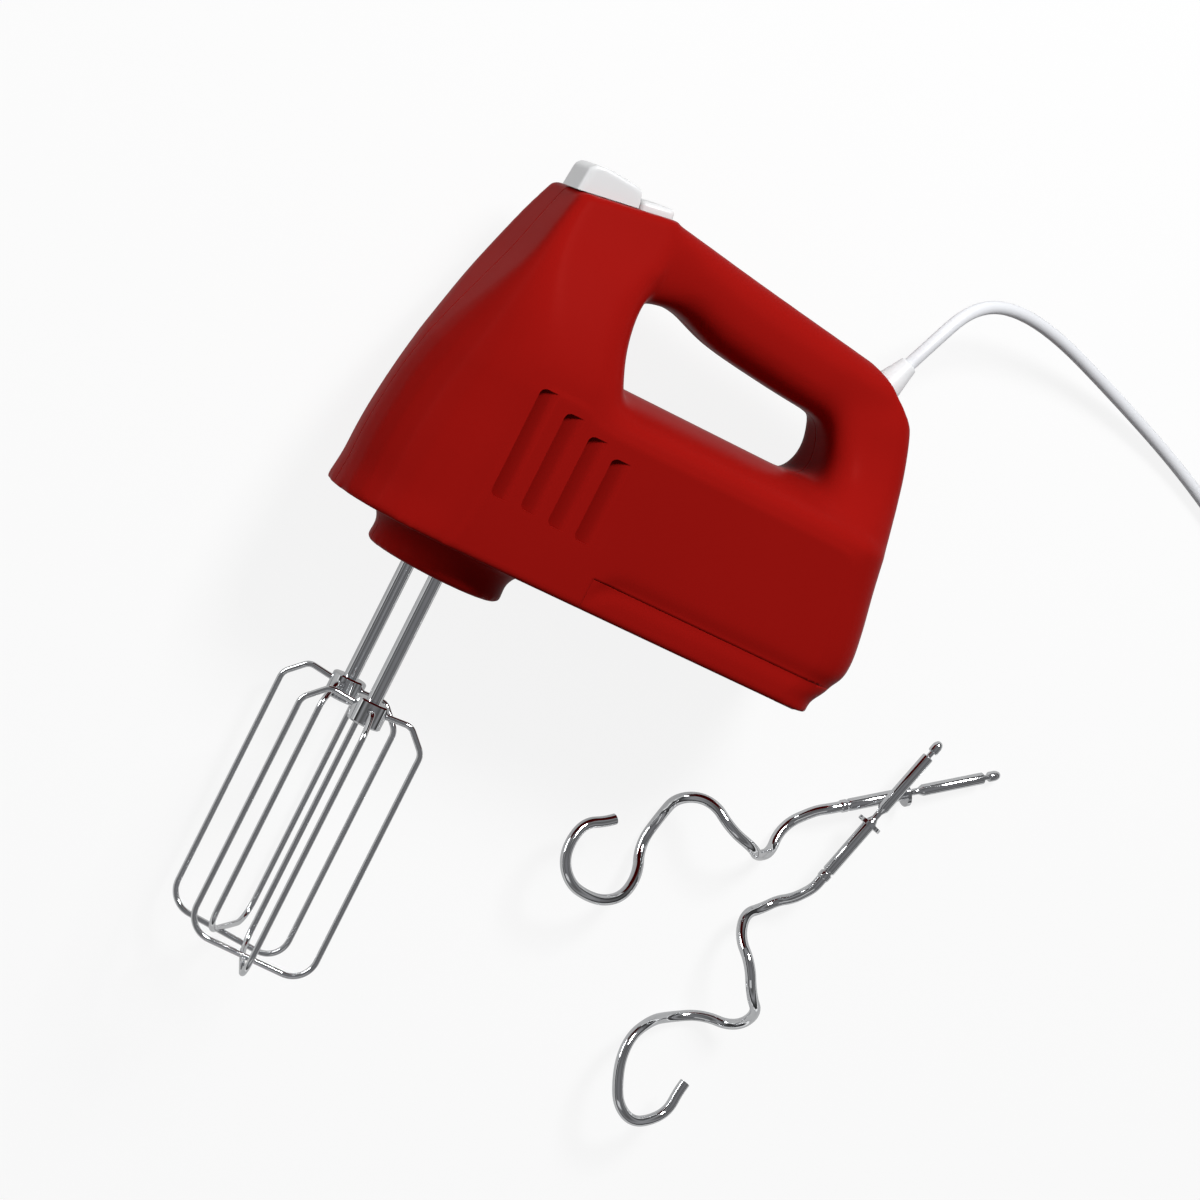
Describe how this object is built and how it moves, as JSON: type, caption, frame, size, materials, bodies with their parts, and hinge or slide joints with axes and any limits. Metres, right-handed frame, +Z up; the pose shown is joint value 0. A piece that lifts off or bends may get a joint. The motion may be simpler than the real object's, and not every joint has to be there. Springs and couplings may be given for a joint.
{
  "type": "hand mixer",
  "caption": "Red electric hand mixer lying on its side with wire beaters fitted, closed-loop handle, white speed and eject controls, dough hooks and a mains cord.",
  "frame": {"origin": "On the table, on the flat right-hand side panel, straight below the motor shaft and 110 mm behind the tip of the nose", "axes": "+X from the nose to the heel, +Y from the base to the handle, +Z up from the table, through the mixer from its right side to its left"},
  "size_m": [0.4725, 0.3858, 0.088],
  "materials": {
    "red_shell": "glossy moulded plastic",
    "white_control": "satin white moulded plastic",
    "white_relief": "soft white sleeve",
    "cord_sheath": "smooth pale sheath",
    "tie_wire": "plain band",
    "plug_white": "moulded plug",
    "pin_metal": "nickelled brass",
    "chrome_tool": "bright plating",
    "steel": "plain steel",
    "lamination": "stacked sheet",
    "copper": "enamelled wire",
    "bronze": "sintered bronze",
    "frame_plastic": "filled plastic",
    "gear_plastic": "natural nylon",
    "carbon": "graphite"
  },
  "bodies": {
    "housing": {"housing_left": "red_shell", "housing_right": "red_shell", "base_cover": "red_shell", "housing_screws": "steel", "gearbox_frame": "frame_plastic", "spindle_bushes": "bronze", "stator_core": "lamination", "field_coils": "copper", "motor_bracket": "steel", "motor_bolts": "steel", "shaft_bushes": "bronze", "brush_holders": "frame_plastic", "carbon_brushes": "carbon", "speed_switch": "frame_plastic", "rod_guide": "frame_plastic", "eject_spring": "steel", "strain_relief": "white_relief", "cord": "cord_sheath", "cord_coil": "cord_sheath", "cord_tie": "tie_wire", "cord_tail": "cord_sheath", "plug_body": "plug_white", "plug_pins": "pin_metal"},
    "armature": {"motor_shaft": "steel", "armature_core": "lamination", "armature_windings": "copper", "commutator": "copper", "cooling_fan": "gear_plastic"},
    "left_gear": {"left_worm_wheel": "gear_plastic", "left_spindle": "steel"},
    "right_gear": {"right_worm_wheel": "gear_plastic", "right_spindle": "steel"},
    "left_beater": {"left_beater_shaft": "chrome_tool", "left_beater_hub": "chrome_tool", "left_beater_wires": "chrome_tool"},
    "right_beater": {"right_beater_shaft": "chrome_tool", "right_beater_hub": "chrome_tool", "right_beater_wires": "chrome_tool"},
    "selector": {"speed_selector": "white_control", "selector_carriage": "frame_plastic"},
    "ejector": {"eject_button": "white_control", "eject_rod": "frame_plastic"},
    "first_hook": {"first_hook_shank": "chrome_tool", "first_hook_washer": "chrome_tool", "first_hook_wire": "chrome_tool"},
    "second_hook": {"second_hook_shank": "chrome_tool", "second_hook_washer": "chrome_tool", "second_hook_wire": "chrome_tool"}
  },
  "joints": [
    {"name": "motor_spin", "type": "hinge", "parent": "housing", "child": "armature", "pos_m": [0, 0, 0.044], "axis": [1, 0, 0], "continuous": true},
    {"name": "left_drive", "type": "hinge", "parent": "housing", "child": "left_gear", "pos_m": [-0.067, 0, 0.062], "axis": [0, 1, 0], "continuous": true},
    {"name": "right_drive", "type": "hinge", "parent": "housing", "child": "right_gear", "pos_m": [-0.067, 0, 0.026], "axis": [0, 1, 0], "continuous": true},
    {"name": "left_beater_pull", "type": "slide", "parent": "left_gear", "child": "left_beater", "axis": [0, -1, 0], "range_m": [0, 0.075]},
    {"name": "right_beater_pull", "type": "slide", "parent": "right_gear", "child": "right_beater", "axis": [0, -1, 0], "range_m": [0, 0.075]},
    {"name": "speed_slide", "type": "slide", "parent": "housing", "child": "selector", "axis": [0, 0, -1], "range_m": [0, 0.01]},
    {"name": "eject_press", "type": "slide", "parent": "housing", "child": "ejector", "axis": [0.165, -0.9863, 0], "range_m": [0, 0.004], "stiffness_N_per_m": 900, "springref_m": -0.003, "deforming": ["eject_spring"]},
    {"name": "first_hook_draw", "type": "slide", "parent": "housing", "child": "first_hook", "axis": [-0.8453, -0.5342, 0], "range_m": [0, 0.06]},
    {"name": "second_hook_lift", "type": "slide", "parent": "housing", "child": "second_hook", "axis": [0, 0, 1], "range_m": [0, 0.06]}
  ],
  "couplings": [
    {"joint": "left_drive", "follows": "motor_spin", "ratio": 0.074074},
    {"joint": "right_drive", "follows": "motor_spin", "ratio": -0.074074}
  ]
}
